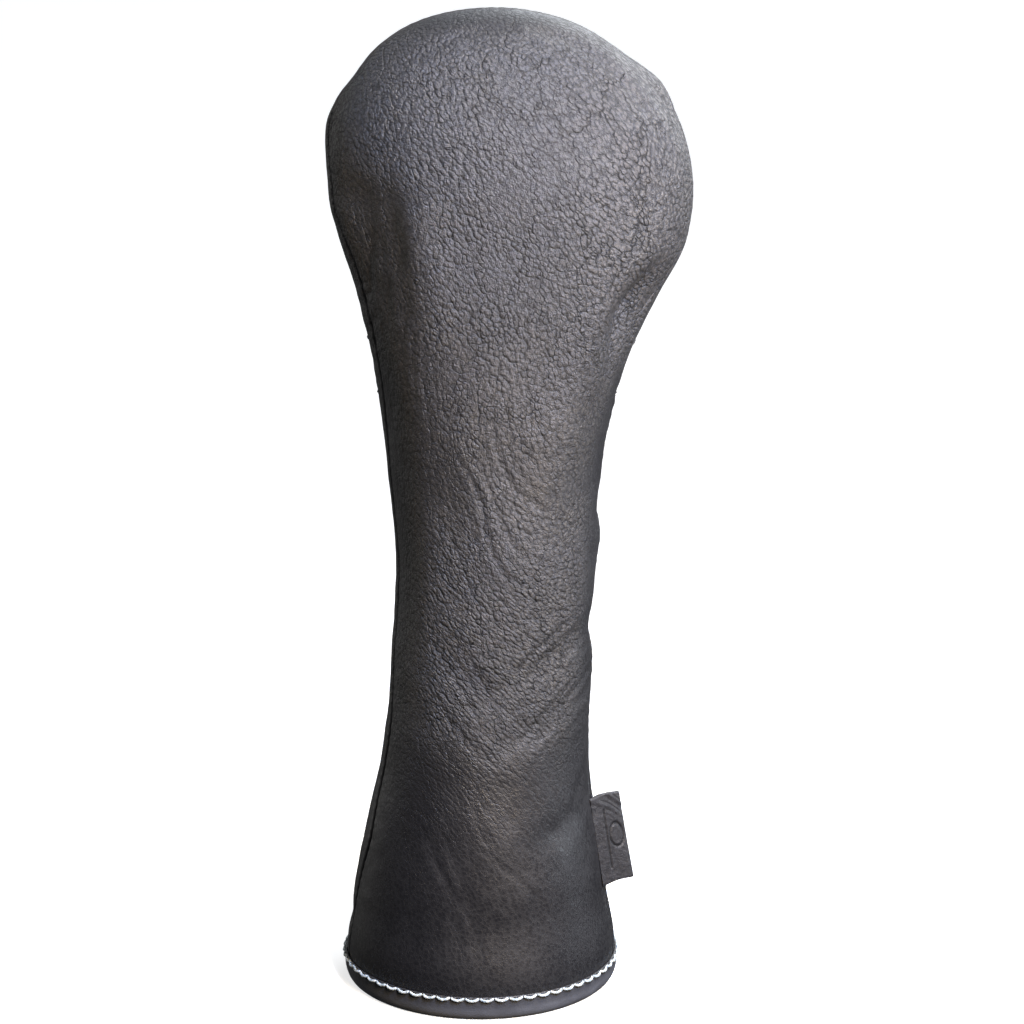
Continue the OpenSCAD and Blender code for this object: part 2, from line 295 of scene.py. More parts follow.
def seam_angle(side, level):
    """Angle of the left or the right seam. The left one, counted round the back, is the larger."""
    z = CROWN_START * np.clip(level, 0, 1)
    forward = through(z, SEAMS[:, 0], SEAMS[:, 1 if side == "left" else 2])
    forward = np.radians(forward) * (1 - ramp(level, 1, 1.8))
    return math.pi + forward if side == "left" else -forward


# ---------------------------------------------------------------- dents, folds and lumps

# Each dent: x, z, how wide and tall, its turn in degrees, and how far in it goes, or out below 0.
# Those at the edge reach the front and the back.
DENTS = {
    "edge": [
        (-52, 349, 13, 10, 0, 1.8),
        (-65, 327, 9, 9, 0, -1.2),
        (54, 341, 10, 9, 0, -1.8),
        (41, 356, 8, 8, 0, 0.8),
        (32, 188, 7, 5, 0, 1.8),
        (33, 174, 8, 8, 0, -1.0),
        (31, 139, 8, 5, 0, 1.2),
        (32, 124, 8, 8, 0, -0.8),
        (-62, 24, 8, 5, 0, 0.9),
    ],
    "front": [
        (-53, 290, 13, 24, 4, 5.2),
        (-41, 288, 5, 20, 5, 1.3),
        (-48, 236, 9, 40, 8, 2.6),
        (-41, 165, 8, 50, 0, 2.0),
        (-54, 304, 14, 8, 0, 1.0),
        (-29, 282, 9, 28, 6, -1.7),
        (43, 263, 7, 15, -32, 6.6),
        (30, 254, 7, 26, -22, -2.8),
        (21, 216, 7, 24, -10, -0.9),
        (50, 300, 12, 16, 0, -1.0),
        (38, 342, 18, 6, -38, 1.6),
        (-5, 322, 26, 20, 0, -1.2),
        (14, 216, 11, 34, -6, -1.6),
        (-22, 190, 8, 30, 10, 0.8),
        (10, 168, 16, 20, 20, -1.2),
        (14, 134, 18, 5, 32, 1.9),
        (-14, 128, 18, 6, -50, 1.3),
        (8, 108, 16, 5, 28, 1.2),
        (20, 69, 15, 6, 28, 1.1),
        (17, 50, 15, 13, 20, -0.6),
        (-30, 60, 18, 26, 0, 1.2),
        (-8, 30, 26, 12, 0, 0.6),
    ],
    "back": [
        (-40, 282, 12, 22, -6, 2.6),
        (44, 284, 12, 22, 6, 2.6),
        (0, 318, 30, 20, 0, -1.0),
        (-16, 176, 8, 30, 6, 1.2),
        (4, 118, 16, 6, -20, 1.8),
        (-22, 96, 18, 6, 24, 1.6),
        (-8, 60, 22, 18, 0, -1.0),
    ],
}


def by_side(table):
    """Rows of a table, each with its side in front."""
    return [(side, *row) for side, rows in table.items() for row in rows]


def side_weights(frontness):
    """How much the rows of each side count at each point."""
    edge = 2 * np.sqrt(frontness * (1 - frontness))
    return {"edge": edge, "front": frontness, "back": 1 - frontness}


def dents(points, frontness):
    """How far in the dents push each point of the skin."""
    depth = np.zeros(points.shape[:-1])
    weights = side_weights(frontness)
    for side, x, z, width, height, turn, into in by_side(DENTS):
        dx, dz = points[..., 0] - x, points[..., 2] - z
        c, s = math.cos(math.radians(turn)), math.sin(math.radians(turn))
        fall = ((dx * c + dz * s) / width) ** 2 + ((dz * c - dx * s) / height) ** 2
        depth += into * weights[side] * np.exp(-fall)
    return depth


def field(points, wavelength, seed):
    """Smooth noise from about -1 to 1 at each point."""
    flat = points.reshape(-1, 3) / wavelength + seed * 17.3
    values = np.array([noise.noise(Vector(p)) for p in flat])
    return values.reshape(points.shape[:-1])


# Patches of long wrinkles: x, z, how wide and tall, which way the wrinkles run in degrees from +X,
# from one wrinkle to the next, and how high.
WRINKLES = {
    "front": [
        (-46, 276, 16, 22, 96, 4.5, 0.55),
        (12, 226, 26, 34, 98, 5.5, 0.14),
        (2, 178, 26, 26, 122, 5.0, 0.26),
        (12, 146, 24, 26, 168, 5.0, 0.42),
        (-16, 140, 22, 34, 60, 5.0, 0.24),
        (18, 116, 22, 16, 36, 5.0, 0.62),
        (-12, 108, 24, 18, 140, 5.5, 0.34),
        (20, 88, 16, 20, 64, 5.0, 0.34),
        (-10, 66, 30, 20, 118, 6.5, 0.26),
        (4, 30, 34, 20, 106, 8.0, 0.26),
        (-52, 250, 10, 34, 70, 4.5, 0.40),
        (40, 318, 24, 22, 128, 7.0, 0.30),
        (20, 340, 34, 12, 150, 6.5, 0.26),
    ],
    "back": [
        (0, 290, 50, 26, 92, 7.0, 0.40),
        (-6, 190, 34, 30, 84, 6.0, 0.60),
        (-6, 138, 30, 26, 30, 6.0, 0.50),
        (-12, 100, 34, 20, 150, 6.0, 0.50),
        (-8, 50, 38, 26, 70, 8.0, 0.34),
    ],
}


def wrinkles(points, frontness):
    """Height of the long wrinkles at each point: rounded ridges with narrow valleys."""
    height = np.zeros(points.shape[:-1])
    weights = side_weights(frontness)
    for seed, (side, x, z, width, tall, way, pitch, high) in enumerate(by_side(WRINKLES)):
        dx, dz = points[..., 0] - x, points[..., 2] - z
        mask = weights[side] * np.exp(-((dx / width) ** 2) - (dz / tall) ** 2)
        near = mask > 0.02
        c, s = math.cos(math.radians(way)), math.sin(math.radians(way))
        bend = 0.012 * (dx * c + dz * s)
        along = (dx * c + dz * s) / (4.5 * pitch)
        across = (dz * c - dx * s) / pitch + bend**2
        spot = np.stack([along, across, np.full_like(along, seed * 7.7)], axis=-1)[near]
        ridge = 1 - np.abs(field(spot, 1.0, seed)) * 2.6
        height[near] += high * mask[near] * ridge
    return height


# Creased folds: half width, depth, and the x, z of the points that the fold runs through.
FOLDS = {
    "front": [
        (2.2, 1.0, ((53, 281), (46, 269), (41, 259), (38, 250), (35, 240))),
        (1.0, 0.3, ((-5, 241), (-6, 228), (-4, 216), (2, 201), (9, 195), (17, 190), (25, 184))),
        (1.0, 0.2, ((-1, 241), (-1, 228), (-2, 219), (5, 205), (13, 198))),
        (1.0, 0.1, ((4, 236), (3, 224), (6, 214), (13, 207))),
        (1.1, 0.5, ((-22, 218), (-11, 199), (-8, 184), (-2, 170), (8, 163))),
        (1.0, 0.3, ((-14, 214), (-6, 198), (-2, 186), (4, 177), (13, 172))),
        (1.0, 0.2, ((-28, 192), (-20, 178), (-14, 162), (-6, 152))),
        (1.0, 0.5, ((1, 173), (9, 166), (15, 158))),
        (1.0, 0.4, ((8, 176), (16, 170), (24, 160))),
        (1.0, 0.5, ((-24, 149), (-17, 140), (-11, 130), (-5, 119))),
        (1.0, 0.4, ((-29, 141), (-22, 132), (-15, 120), (-8, 109))),
        (1.0, 0.2, ((-33, 130), (-26, 120), (-18, 108), (-11, 99))),
        (1.2, 0.7, ((26, 151), (15, 143), (8, 137), (-4, 124))),
        (1.0, 0.5, ((28, 139), (17, 131), (8, 124), (0, 115))),
        (1.0, 0.4, ((29, 128), (18, 119), (10, 111), (3, 103))),
        (1.0, 0.2, ((29, 116), (20, 108), (12, 99), (7, 92))),
        (0.8, 0.2, ((-37, 262), (-38, 247), (-36, 230))),
        (0.8, 0.2, ((-33, 264), (-34, 246), (-33, 226))),
        (0.8, 0.2, ((-29, 257), (-30, 240), (-28, 222))),
        (1.4, 0.5, ((8, 362), (20, 358), (31, 352), (42, 343), (51, 331), (57, 318))),
        (1.4, 0.4, ((-38, 349), (-26, 356), (-12, 361), (2, 362))),
        (1.1, 0.2, ((26, 345), (36, 337), (45, 327))),
        (1.1, 0.2, ((-12, 66), (-2, 58), (10, 46), (20, 30))),
        (1.1, 0.2, ((-30, 62), (-22, 50), (-12, 34))),
    ],
    "back": [
        (1.6, 1.0, ((-28, 196), (-12, 182), (6, 176), (24, 180))),
        (1.6, 0.9, ((-30, 170), (-10, 158), (8, 160), (26, 150))),
        (1.6, 1.0, ((-30, 132), (-14, 120), (4, 114), (22, 118))),
        (1.5, 0.7, ((-26, 112), (-12, 100), (6, 98))),
        (1.6, 0.5, ((-20, 70), (-4, 56), (12, 40))),
    ],
}


def smooth_line(corners, steps=8):
    """Points of a smooth curve that runs through the corners."""
    c = np.array(corners, float)
    c = np.concatenate([[2 * c[0] - c[1]], c, [2 * c[-1] - c[-2]]])
    t = (np.arange(steps) / steps)[:, None]
    spans = [
        b + 0.5 * t * (d - a + t * (2 * a - 5 * b + 4 * d - e + t * (3 * b - a - 3 * d + e)))
        for a, b, d, e in zip(c, c[1:], c[2:], c[3:])
    ]
    return np.concatenate(spans + [c[-2:-1]])


def folds(points, frontness):
    """How far in the folds' grooves go at each point, with the leather raised on both sides of them."""
    depth = np.zeros(points.shape[:-1])
    weights = side_weights(frontness)
    for side, half_width, deep, corners in by_side(FOLDS):
        line = smooth_line(corners)
        dx = points[..., 0][..., None] - line[:, 0]
        dz = points[..., 2][..., None] - line[:, 1]
        square = dx**2 + dz**2
        nearest = np.argmin(square, axis=-1)
        distance = np.sqrt(np.min(square, axis=-1)) / half_width
        ends = np.sin(math.pi * (0.04 + 0.92 * nearest / (len(line) - 1)))
        groove = np.exp(-(distance**2)) - 0.4 * np.exp(-((distance - 2.1) ** 2))
        depth += deep * weights[side] * np.sqrt(ends) * groove
    return depth


# The elastic's rows of stitches lie this far in from its edges.
ELASTIC_EDGE_IN = 6.0
GATHER_HIGH = 1.5
GATHER_REACH = 26
GATHER_COUNT = 24


def gathers(points, frontness, angle):
    """Upright folds in the back panel where the elastic gathers it, in mm outwards. They are lower
    towards the left seam, and pinched at the elastic's two rows of stitches."""
    away = points[..., 2] - ELASTIC_MIDDLE
    strength = np.exp(-((away / GATHER_REACH) ** 2)) * ramp(1 - frontness, 0.25, 0.8)
    strength = strength * (1 - 0.9 * ramp(-np.cos(angle), 0.6, 0.95))
    bend = field(points * (0.3, 0.3, 1), 26, 3) * 0.5
    count = GATHER_COUNT + 3 * np.sin(2.2 * angle)
    phase = count * angle + 5 * bend + 0.04 * away * np.sin(3 * angle)
    fold = 1 - 1.7 * np.abs(np.sin(phase / 2 + 1.2 * np.sin(1.7 * angle)))
    from_row = np.abs(away) - (ELASTIC_HIGH - ELASTIC_LOW) / 2 + ELASTIC_EDGE_IN
    pinched = 1 - 0.5 * np.exp(-(from_row / 2.5) ** 2)
    return GATHER_HIGH * strength * fold * pinched


def relief(angle, level, fine=True):
    """How far outside the smooth skin the leather lies. The layers inside leave out what is fine."""
    points = skin(angle, level)
    frontness = ramp(-np.sin(angle), -0.25, 0.25)
    top_quiet = 1 - ramp(level, 1.55, 1.95)
    hem_quiet = ramp(points[..., 2], 10, 40)
    gathered = gathers(points, frontness, angle)
    out = 0.7 * gathered - dents(points, frontness)
    out = out + 0.7 * field(points, 42, 1) * top_quiet * (0.3 + 0.7 * hem_quiet)
    if fine:
        out = out + 0.6 * gathered - folds(points, frontness)
        out = out + 0.28 * field(points, 15, 2) * top_quiet * hem_quiet
        out = out + 0.12 * field(points, 6, 4) * top_quiet * hem_quiet
        out = out + 0.8 * wrinkles(points, frontness) * (0.25 + 0.75 * hem_quiet)
    return out


def wall(angle, level, depth, fine=True):
    """Points that lie depth inside the leather's outer face."""
    angle, level = np.broadcast_arrays(np.asarray(angle, float), np.asarray(level, float))
    out = relief(angle, level, fine) - depth
    return skin(angle, level) + skin_normal(angle, level) * np.asarray(out)[..., None]


# ---------------------------------------------------------------- meshes

def mesh_piece(name, points, faces, material, body="cover"):
    """Makes a mesh from points in mm and lists of faces, which rides on a body if there is one."""
    mesh = bpy.data.meshes.new(name)
    mesh.from_pydata((np.asarray(points) * MM).tolist(), [], faces)
    mesh.validate()
    mesh.polygons.foreach_set("use_smooth", [True] * len(mesh.polygons))
    mesh.materials.append(material)
    mesh.update()
    piece = add_object(name, mesh)
    if body:
        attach(piece, body)
    return piece


def paint(piece, name, values):
    """Stores a number or a vector at each point of a piece, for its material."""
    values = np.asarray(values, np.float32)
    kind, field_name = ("FLOAT", "value") if values.ndim == 1 else ("FLOAT_VECTOR", "vector")
    attribute = piece.data.attributes.new(name, kind, "POINT")
    attribute.data.foreach_set(field_name, values.ravel())


def grid_quads(rows, columns, first=0, closed=False, flip=False):
    """Faces of a grid of points, which are numbered row by row from first. closed joins the last
    column to the first."""
    steps = columns if closed else columns - 1
    r, c = np.meshgrid(np.arange(rows - 1), np.arange(steps), indexing="ij")
    across = (c + 1) % columns
    quads = np.stack([r * columns + c, r * columns + across, (r + 1) * columns + across,
                      (r + 1) * columns + c], axis=-1).reshape(-1, 4) + first
    return (quads[:, ::-1] if flip else quads).tolist()


def shell(outer, inner, outer_pole=None, inner_pole=None):
    """A closed layer between two grids of points that face each other, either open at the top or
    closed there at a point of each face."""
    rows, columns = outer.shape[:2]
    count = rows * columns
    points = np.concatenate([outer.reshape(-1, 3), inner.reshape(-1, 3)])
    faces = grid_quads(rows, columns) + grid_quads(rows, columns, count, flip=True)
    base, left = np.arange(columns), np.arange(rows) * columns
    right, top = left + columns - 1, (rows - 1) * columns + np.arange(columns)
    rims = [(base, True), (left, False), (right, True)]
    if outer_pole is None:
        rims.append((top, False))
    for line, flip in rims:
        strip = np.stack([line[:-1], line[1:], line[1:] + count, line[:-1] + count], axis=-1)
        faces += (strip[:, ::-1] if flip else strip).tolist()
    if outer_pole is not None:
        points = np.concatenate([points, [outer_pole, inner_pole]])
        tip, root = 2 * count, 2 * count + 1
        faces += [(int(a), int(b), tip) for a, b in zip(top[:-1], top[1:])]
        faces += [(int(b) + count, int(a) + count, root) for a, b in zip(top[:-1], top[1:])]
        faces += [(int(top[0]), tip, root, int(top[0]) + count)]
        faces += [(int(top[-1]), int(top[-1]) + count, root, tip)]
    return points, faces


def rings(low, high, pitch, crown_to=None):
    """Levels of rows of points from one height to another, and on over the crown to a level."""
    count = max(2, round((high - low) / pitch))
    levels = level_of(np.linspace(low, high, count + 1))
    if crown_to is not None:
        crown = np.arange(1, crown_to, pitch / CROWN_RUN)[1:]
        levels = np.concatenate([levels, crown, [crown_to]])
    return levels


def run_along(line):
    """Distance run along a line of points up to each of them."""
    return np.concatenate([[0], np.cumsum(np.linalg.norm(np.diff(line, axis=0), axis=1))])


def across_panel(side, level, samples=241):
    """Angles from one seam of a panel to its other one at a level, and the distance run up to each."""
    right, left = float(seam_angle("right", level)), float(seam_angle("left", level))
    first, last = (left - 2 * math.pi, right) if side == "front" else (right, left)
    angles = np.linspace(first, last, samples)
    return angles, run_along(skin(angles, level))


def panel_grid(side, levels, inner_columns, edge_steps, margin=0.0):
    """Angle and level of a panel's grid of points. Its columns lie at the given distances from both
    seams in mm, which shrink where the panel is narrow, and evenly spread between them."""
    narrow = 60
    rows = []
    for level in levels:
        fine, along = across_panel(side, level)
        length = along[-1]
        edge = (np.asarray(edge_steps) + margin) * min(1, length / narrow)
        middle = np.linspace(edge[-1], length - edge[-1], inner_columns + 2)[1:-1]
        wanted = np.concatenate([edge, middle, length - edge[::-1]])
        rows.append(np.interp(wanted, along, fine))
    return np.array(rows), np.repeat(levels[:, None], len(rows[0]), axis=1)


def seam_line(spacing=0.3):
    """Points of both side seams on the smooth skin, from the right hem over the top to the left hem,
    with the distance run along them."""
    sleeve = level_of(np.arange(0, CROWN_START, spacing))
    levels = np.concatenate([sleeve, np.arange(1, 2, spacing / CROWN_RUN), [2.0]])
    right = skin(seam_angle("right", levels), levels)
    left = skin(seam_angle("left", levels), levels)
    line = np.concatenate([right, left[-2::-1]])
    return line, run_along(line)


SEAM_LINE, SEAM_RUN = seam_line()
SEAM_TREE = KDTree(len(SEAM_LINE))
for i, point in enumerate(SEAM_LINE):
    SEAM_TREE.insert(point, i)
SEAM_TREE.balance()


def from_seam(points):
    """Distance of each point of the skin from the nearest seam, and how far along the seam that is."""
    found = [SEAM_TREE.find(p)[1:] for p in points.reshape(-1, 3)]
    index = np.array([f[0] for f in found])
    distance = np.array([f[1] for f in found])
    return distance.reshape(points.shape[:-1]), SEAM_RUN[index].reshape(points.shape[:-1])


# ---------------------------------------------------------------- materials

class Nodes:
    """Short names for the shader nodes of one material."""

    def __init__(self, name):
        self.material = bpy.data.materials.new(name)
        self.material.use_nodes = True
        self.tree = self.material.node_tree
        self.shader = self.tree.nodes["Principled BSDF"]

    def add(self, kind, inputs=(), **settings):
        node = self.tree.nodes.new("ShaderNode" + kind)
        for key, value in settings.items():
            setattr(node, key, value)
        for key, value in dict(inputs).items():
            self.link(value, node.inputs[key])
        return node

    def link(self, value, socket):
        if isinstance(value, bpy.types.NodeSocket):
            self.tree.links.new(value, socket)
        else:
            socket.default_value = value

    def math(self, operation, first, *others):
        """One operation through all the values in turn."""
        for other in others or (0.0,):
            first = self.add("Math", {0: first, 1: other}, operation=operation).outputs[0]
        return first

    def times(self, *values):
        return self.math("MULTIPLY", *values)

    def plus(self, *values):
        return self.math("ADD", *values)

    def moved(self, place, shift):
        return self.add("VectorMath", {0: place, 1: shift}, operation="ADD").outputs[0]

    def scaled(self, place, scale):
        return self.add("Mapping", {"Vector": place, "Scale": scale}).outputs[0]

    def place(self, scale=(1, 1, 1)):
        """Object coordinates, in metres before they are scaled."""
        return self.scaled(self.add("TexCoord").outputs["Object"], scale)

    def warp(self, scale, amount):
        """A shift of the coordinates, up to about amount metres each way."""
        tone = self.add("TexNoise", {"Vector": self.place(), "Scale": scale, "Detail": 2.0})
        centred = self.moved(tone.outputs["Color"], (-0.5, -0.5, -0.5))
        sized = self.add("VectorMath", {0: centred, "Scale": 2 * amount}, operation="SCALE")
        return sized.outputs[0]

    def noise(self, place, scale, detail=2.0, roughness=0.5):
        inputs = {"Vector": place, "Scale": scale, "Detail": detail, "Roughness": roughness}
        return self.add("TexNoise", inputs).outputs["Fac"]

    def cells(self, place, scale, feature="DISTANCE_TO_EDGE", output="Distance"):
        inputs = {"Vector": place, "Scale": scale, "Randomness": 1.0}
        return self.add("TexVoronoi", inputs, feature=feature).outputs[output]

    def fit(self, value, low, high, to_low=0.0, to_high=1.0, smooth=True):
        kind = "SMOOTHSTEP" if smooth else "LINEAR"
        limits = {"From Min": low, "From Max": high, "To Min": to_low, "To Max": to_high}
        node = self.add("MapRange", {"Value": value, **limits}, interpolation_type=kind)
        return node.outputs["Result"]

    def mix(self, factor, a, b):
        """The node's inputs 6 and 7 are its two colours, and output 2 is the mixed one."""
        return self.add("Mix", {"Factor": factor, 6: a, 7: b}, data_type="RGBA").outputs[2]

    def painted(self, name):
        return self.add("Attribute", attribute_name=name).outputs["Fac"]

    def bump(self, height):
        """Height is in metres."""
        node = self.add("Bump", {"Height": height, "Distance": 1.0, "Strength": 1.0})
        self.link(node.outputs["Normal"], self.shader.inputs["Normal"])

    def finish(self, colour, roughness, **fixed):
        """Colour and roughness may be linked; the other sockets get plain numbers."""
        self.link(colour, self.shader.inputs["Base Color"])
        self.link(roughness, self.shader.inputs["Roughness"])
        for key, value in fixed.items():
            self.shader.inputs[key.replace("_", " ")].default_value = value
        return self.material


# Pebbles and strands per metre, and how high or deep each kind of grain is, in metres.
PEBBLES = 660.0
STRANDS = 560.0
PEBBLE_HIGH = 0.00036
STRAND_HIGH = 0.00017
CREASE_DEEP = 0.00026
FINE_HIGH = 0.00050
PORE_DEEP = 0.00030


def domes(n, distance, steepness):
    """Rounded tops, from the distance to the middle of each cell."""
    return n.math("SUBTRACT", 1.0, n.times(distance, distance, steepness))


def panel_leather():
    """Tumbled full-grain leather: domed pebbles, creases that run between them, and fine strands where
    the hide is pulled. It is smooth and dark where the pebbles are faint. Its colour also holds painted
    light: painted shade, partly dirt, in the hollows between pebbles, painted shade in the creases,
    pale painted glints, and a warm painted highlight on the pebbles where they are strong. The mesh
    says how strong the pebbles and strands are, and its "grain" is a place across and along the way the
    hide flows."""
    n = Nodes("panel_leather")
    pebble, stretch = n.painted("pebble"), n.painted("stretch")
    flow = n.moved(n.add("Attribute", attribute_name="grain").outputs["Vector"], n.warp(170, 0.0009))
    place = n.scaled(flow, (1.0, 0.85, 1.0))
    dome = domes(n, n.cells(place, PEBBLES, "F1"), 1.9)
    borders = [crease_lines(n, place, turn, scale) for turn, scale in ((24, 66), (-18, 88))]
    broken = [n.fit(n.noise(n.place(), scale), 0.27, 0.40) for scale in (50, 70)]
    lines = [n.times(border, mask) for border, mask in zip(borders, broken)]
    lines = n.math("MAXIMUM", lines[0], n.times(lines[1], 0.6))
    crease = n.times(n.fit(n.cells(place, PEBBLES), 0.20, 0.0), lines)
    strand = domes(n, n.cells(n.scaled(flow, (1.0, 0.11, 1.0)), STRANDS, "F1"), 2.0)
    fine = n.noise(n.place(), 1300, 2.0, 0.6)
    pores = n.noise(n.place(), 2600, 2.0, 0.7)

    patches = n.noise(n.place(), 60, 3.0)
    pebbled = n.times(dome, PEBBLE_HIGH, pebble, n.fit(patches, 0.3, 0.7, 0.5, 1.2))
    creased = n.times(crease, pebble, -CREASE_DEEP)
    stranded = n.times(strand, STRAND_HIGH, stretch)
    speckled = n.plus(n.times(fine, FINE_HIGH), n.times(pores, PORE_DEEP))
    speckled = n.times(speckled, n.fit(pebble, 0, 1, 0.06, 1.0, smooth=False))
    n.bump(n.plus(pebbled, creased, stranded, speckled))

    # Pebble tops are paler, and the hollows between them darker in colour, partly dirt and partly
    # painted shade.
    pebble_tops_and_painted_shade = n.fit(dome, 0.32, 0.95)
    tone = n.times(pebble_tops_and_painted_shade, n.fit(fine, 0.3, 0.7, 0.65, 1.2))
    tint = n.fit(n.noise(n.place(), 26, 3.0), 0.42, 0.62)
    top = n.mix(tint, (0.037, 0.0370, 0.0400, 1), (0.039, 0.0370, 0.0350, 1))
    ground = n.mix(tone, (0.009, 0.0088, 0.0095, 1), top)
    # Painted glints: pale specks in the colour where the pebbles are strong.
    painted_glints = n.times(n.fit(pores, 0.50, 0.68), n.fit(pebble, 0.15, 0.8))
    ground = n.mix(painted_glints, ground, (0.061, 0.059, 0.062, 1))
    ground = n.mix(n.fit(pebble, 0.1, 0.7), (0.009, 0.0089, 0.0105, 1), ground)
    # Painted warm highlight: paler, warmer pebble tops where the pebbles are strongest.
    painted_highlight = n.times(n.fit(pebble, 0.95, 1.6), pebble_tops_and_painted_shade)
    ground = n.mix(painted_highlight, ground, (0.056, 0.052, 0.049, 1))
    # Painted shade: the creases are darker in colour, most where the pebbles are strong.
    dark = n.times(crease, n.fit(pebble, 0, 1, 0.2, 1.0))
    colour = n.mix(dark, ground, (0.004, 0.0036, 0.004, 1))
    rough = n.fit(n.math("SUBTRACT", tone, crease), 0, 1, 0.57, 0.42, smooth=False)
    rough = n.math("SUBTRACT", rough, n.fit(pebble, 0.1, 0.6, 0.02, 0.0))
    rough = n.plus(rough, n.fit(patches, 0.3, 0.7, -0.04, 0.05))
    return n.finish(colour, rough, Specular_IOR_Level=0.65)


def crease_lines(n, place, turn, scale):
    """1 on the borders of large long cells that are made of whole pebbles, so that the borders run
    between pebbles, and 0 elsewhere. turn is the angle of the cells to the hide's flow."""
    ids = []
    for feature in ("F1", "F2"):
        centre = n.cells(place, PEBBLES, feature, "Position")
        turned = n.add("Mapping", {"Vector": centre, "Rotation": (0, 0, math.radians(turn))})
        tone = n.cells(n.scaled(turned.outputs[0], (1.0, 0.33, 1.0)), scale, "F1", "Color")
        ids.append(n.add("SeparateColor", {0: tone}).outputs[0])
    differ = n.math("ABSOLUTE", n.math("SUBTRACT", ids[0], ids[1]))
    return n.math("GREATER_THAN", differ, 0.001)


def binding_leather():
    """Smooth thin leather, shinier towards the foot from wear, where its colour turns pale and bluish
    as a painted reflection; the mesh's "rub" is 1 there.
    """
    n = Nodes("binding_leather")
    wear_and_painted_sheen = n.painted("wear_and_painted_sheen")
    fine = n.fit(n.cells(n.moved(n.place(), n.warp(300, 0.0004)), 1300), 0.0, 0.3)
    folds = n.noise(n.place(scale=(1, 1, 2.2)), 260, 3.0, 0.55)
    n.bump(n.plus(n.times(fine, 0.00003), n.times(folds, 0.0001)))
    # Painted pale bluish reflection towards the foot, where the leather is also smoother from wear.
    patchy_wear_and_sheen = n.times(wear_and_painted_sheen, n.fit(n.noise(n.place(), 120, 4.0), 0.3, 0.7, 0.7, 1.0))
    colour = n.mix(patchy_wear_and_sheen, (0.022, 0.022, 0.024, 1), (0.150, 0.158, 0.180, 1))
    rough = n.math("SUBTRACT", 0.5, n.times(patchy_wear_and_sheen, 0.14))
    return n.finish(colour, rough, Specular_IOR_Level=0.55)


def tab_leather():
    """The tab's thin stiff leather: fine grain, and darker where the mesh's "pressed" is 1."""
    n = Nodes("tab_leather")
    lump = n.noise(n.place(), 520, 3.0, 0.55)
    grain = n.noise(n.place(), 2600, 3.0, 0.6)
    n.bump(n.plus(n.times(lump, 0.0004), n.times(grain, 0.00012)))
    colour = n.mix(n.fit(lump, 0.35, 0.65), (0.015, 0.0148, 0.0165, 1), (0.028, 0.0275, 0.0300, 1))
    colour = n.mix(n.times(n.painted("pressed"), 0.85), colour, (0.006, 0.006, 0.007, 1))
    return n.finish(colour, n.fit(lump, 0.3, 0.7, 0.56, 0.46), Specular_IOR_Level=0.5)


def thread_material(name, dark, light, roughness, fibre):
    """Plied thread: fine fibres that catch the light, and dirt between them."""
    n = Nodes(name)
    fuzz = n.noise(n.place(), 4200, 3.0, 0.6)
    n.bump(n.times(fuzz, fibre))
    dirt = n.fit(n.noise(n.place(), 700, 3.0), 0.35, 0.65)
    colour = n.mix(n.times(dirt, n.fit(fuzz, 0.3, 0.7, 0.6, 1.0)), dark, light)
    return n.finish(colour, roughness, Sheen_Weight=0.15, Sheen_Roughness=0.4)


def fleece():
    """Short-pile fleece: soft clumps over fine fibres."""
    n = Nodes("fleece")
    clump = n.noise(n.place(), 420, 4.0, 0.65)
    fibre = n.noise(n.place(), 2600, 3.0, 0.7)
    n.bump(n.plus(n.times(clump, 0.0009), n.times(fibre, 0.0002)))
    colour = n.mix(n.fit(clump, 0.3, 0.7), (0.05, 0.05, 0.055, 1), (0.17, 0.17, 0.18, 1))
    return n.finish(colour, 0.95, Sheen_Weight=0.5, Sheen_Roughness=0.6)


def foam_material():
    """Open-cell foam, full of small round pores."""
    n = Nodes("foam")
    pores = n.fit(n.cells(n.place(), 900, "F1"), 0.15, 0.55)
    n.bump(n.times(pores, 0.0004))
    colour = n.mix(pores, (0.62, 0.58, 0.49, 1), (0.42, 0.38, 0.3, 1))
    return n.finish(colour, 0.95)


def elastic_material():
    """Woven elastic: ribs along the band, crossed by fine picks."""
    n = Nodes("elastic")
    ribs = n.add("TexWave", {"Vector": n.place(), "Scale": 160.0, "Distortion": 0.6, "Detail": 1.0},
                 wave_type="BANDS", bands_direction="Z").outputs["Fac"]
    picks = n.noise(n.place(scale=(1, 1, 0.2)), 1800, 2.0)
    n.bump(n.plus(n.times(ribs, 0.00035), n.times(picks, 0.0001)))
    colour = n.mix(ribs, (0.008, 0.008, 0.009, 1), (0.032, 0.032, 0.035, 1))
    return n.finish(colour, 0.8, Sheen_Weight=0.2)


# ---------------------------------------------------------------- leather panels

# The leather's thickness, how its edge rolls into the seams, and the stitches there.
LEATHER = 1.4
SEAM_ROLL = 2.0
SEAM_DEPTH = 1.4
SEAM_PITCH = 4.2
SEAM_THREAD = 0.3
SEAM_STITCHED_TO = 1.86
PANEL_LOW = cad_box("front_panel")[0][2]
# From one row of points to the next, columns between the edges, and the edge columns' distances from
# the seam.
SPACING = 1.1
PANEL_COLUMNS = 118
EDGE_STEPS = (0.3, 0.32, 0.6, 1.0, 1.5, 2.1, 2.9, 3.9)


def seam_depth(distance, run):
    """How far in the panel's edge rolls towards the seam, with a pucker at each stitch."""
    reach = np.clip(SEAM_ROLL - distance, 0, SEAM_ROLL)
    roll = SEAM_ROLL - np.sqrt(SEAM_ROLL**2 - reach**2)
    uneven = 0.6 + 0.4 * np.sin(run / 7.0) * np.sin(run / 3.1 + 1)
    pucker = 0.2 * uneven * np.cos(2 * math.pi * run / SEAM_PITCH) * np.exp(-distance / 2.6)
    return np.minimum(roll, SEAM_DEPTH) + pucker * ramp(distance, 0.3, 1.2)


